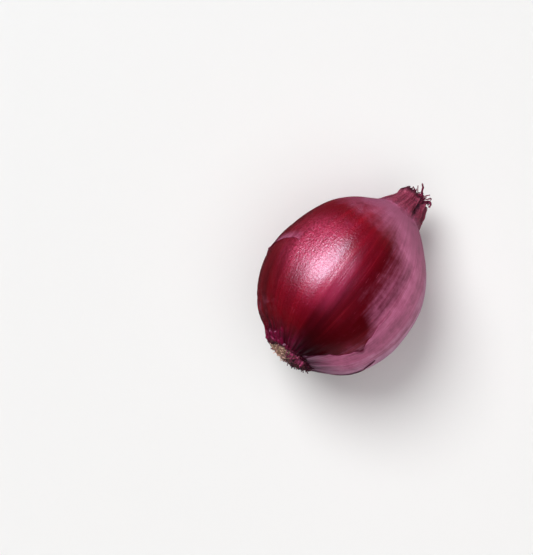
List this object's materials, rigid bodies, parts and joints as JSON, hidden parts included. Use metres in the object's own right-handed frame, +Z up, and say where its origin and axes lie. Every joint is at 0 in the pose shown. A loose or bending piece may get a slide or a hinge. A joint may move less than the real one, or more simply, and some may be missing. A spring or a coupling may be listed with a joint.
{
  "type": "red onion",
  "caption": "Red onion lying on its side, whole and dried: a round crimson bulb that runs into a short pleated neck with torn dry leaf tips, and a tan root plate with trimmed roots.",
  "frame": {"origin": "The middle of the bounding box's bottom face, on the table that the onion rests on.", "axes": "+Z is up as the onion rests on its side. +X runs from the root plate to the neck, seen from above. +Y is to the left of that, and the neck's mouth leans a little to -Y."},
  "size_m": [0.1012, 0.0716, 0.0722],
  "materials": {
    "onion_skin": "thin dry skin, glossy where it lies tight and satin where it has loosened",
    "dry_leaf_tips": "matte and brittle",
    "root_cork": "matte, corky and fibrous"
  },
  "bodies": {
    "root": {"bulb": "onion_skin", "neck_fringe": "dry_leaf_tips", "root_plate": "root_cork"}
  },
  "joints": []
}
